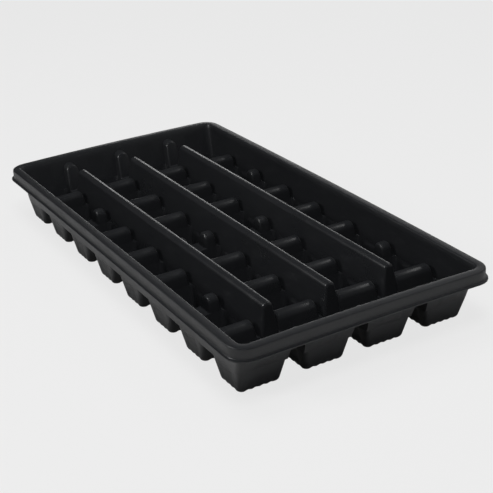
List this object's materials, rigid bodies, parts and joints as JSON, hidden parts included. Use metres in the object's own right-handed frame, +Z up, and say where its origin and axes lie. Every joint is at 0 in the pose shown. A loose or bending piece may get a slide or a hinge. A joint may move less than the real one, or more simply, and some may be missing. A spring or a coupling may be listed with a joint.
{
  "type": "slotted plant tray",
  "caption": "Shallow rectangular black plastic nursery tray with rows of tapered pockets, half-round dividers, long ridges and a skirted rim, for holding small plant pots.",
  "frame": {"origin": "centre of the tray on the surface that it stands on, under the pockets' floors", "axes": "+X along the tray's length, +Y across its rows, +Z up out of the pockets"},
  "size_m": [0.545, 0.28, 0.059],
  "materials": {
    "rim": "satin black moulded sheet",
    "wall": "satin black moulded sheet",
    "ridge": "satin black moulded sheet, shinier on its crest",
    "divider": "satin black moulded sheet, shinier on its crest",
    "pocket": "satin black moulded sheet"
  },
  "bodies": {
    "root": {"rim": "rim", "end_wall_far": "wall", "end_wall_near": "wall", "side_wall_left": "wall", "side_wall_right": "wall", "ridge_1": "ridge", "ridge_2": "ridge", "ridge_3": "ridge", "divider_r1_d1": "divider", "divider_r1_d3": "divider", "divider_r1_d4": "divider", "divider_r1_d5": "divider", "divider_r1_d7": "divider", "divider_r2_d1": "divider", "divider_r2_d2": "divider", "divider_r2_d3": "divider", "divider_r2_d5": "divider", "divider_r2_d6": "divider", "divider_r2_d7": "divider", "divider_r3_d1": "divider", "divider_r3_d2": "divider", "divider_r3_d3": "divider", "divider_r3_d5": "divider", "divider_r3_d6": "divider", "divider_r3_d7": "divider", "divider_r4_d1": "divider", "divider_r4_d3": "divider", "divider_r4_d4": "divider", "divider_r4_d5": "divider", "divider_r4_d7": "divider", "pocket_r1_c1": "pocket", "pocket_r1_c2_c3": "pocket", "pocket_r1_c4": "pocket", "pocket_r1_c5": "pocket", "pocket_r1_c6_c7": "pocket", "pocket_r1_c8": "pocket", "pocket_r2_c1": "pocket", "pocket_r2_c2": "pocket", "pocket_r2_c3": "pocket", "pocket_r2_c4_c5": "pocket", "pocket_r2_c6": "pocket", "pocket_r2_c7": "pocket", "pocket_r2_c8": "pocket", "pocket_r3_c1": "pocket", "pocket_r3_c2": "pocket", "pocket_r3_c3": "pocket", "pocket_r3_c4_c5": "pocket", "pocket_r3_c6": "pocket", "pocket_r3_c7": "pocket", "pocket_r3_c8": "pocket", "pocket_r4_c1": "pocket", "pocket_r4_c2_c3": "pocket", "pocket_r4_c4": "pocket", "pocket_r4_c5": "pocket", "pocket_r4_c6_c7": "pocket", "pocket_r4_c8": "pocket"}
  },
  "joints": []
}
